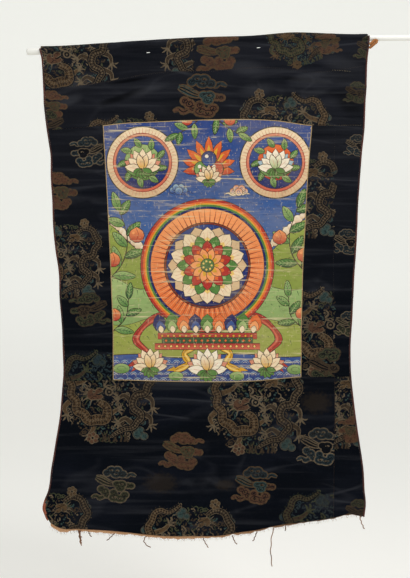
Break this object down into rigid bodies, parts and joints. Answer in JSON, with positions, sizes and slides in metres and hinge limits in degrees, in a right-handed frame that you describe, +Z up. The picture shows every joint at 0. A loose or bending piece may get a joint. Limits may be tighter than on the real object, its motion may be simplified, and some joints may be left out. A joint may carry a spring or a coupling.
{
  "type": "thangka scroll painting on a hanging rod",
  "caption": "Painted canvas set in a dark silk brocade mount that flares at its hem, hung by a sleeve on a slim white rod.",
  "frame": {"origin": "on the rod's axis at the middle of its sleeve, where the wall's support holds it", "axes": "+Z up, -Y out of the painted front, +X to the viewer's right"},
  "size_m": [0.8277, 0.0345, 1.1195],
  "materials": {
    "rod": "painted white, satin",
    "brocade": "near-black navy silk brocade with muted gold, copper and teal roundels and clouds",
    "painting": "matt pigment on cotton canvas, worn along its roll creases",
    "piping": "twisted rust-coloured cord",
    "lining": "plain tan cotton with a frayed hem",
    "loop": "brown-orange twisted cord"
  },
  "bodies": {
    "root": {"rod": "rod", "rod_sleeve": "brocade", "heading": "brocade", "left_strip": "brocade", "right_strip": "brocade", "skirt": "brocade", "skirt_strip": "brocade", "painted_canvas": "painting", "left_piping": "piping", "right_piping": "piping", "lining": "lining", "frayed_hem": "lining", "corner_loop": "loop"}
  },
  "joints": []
}
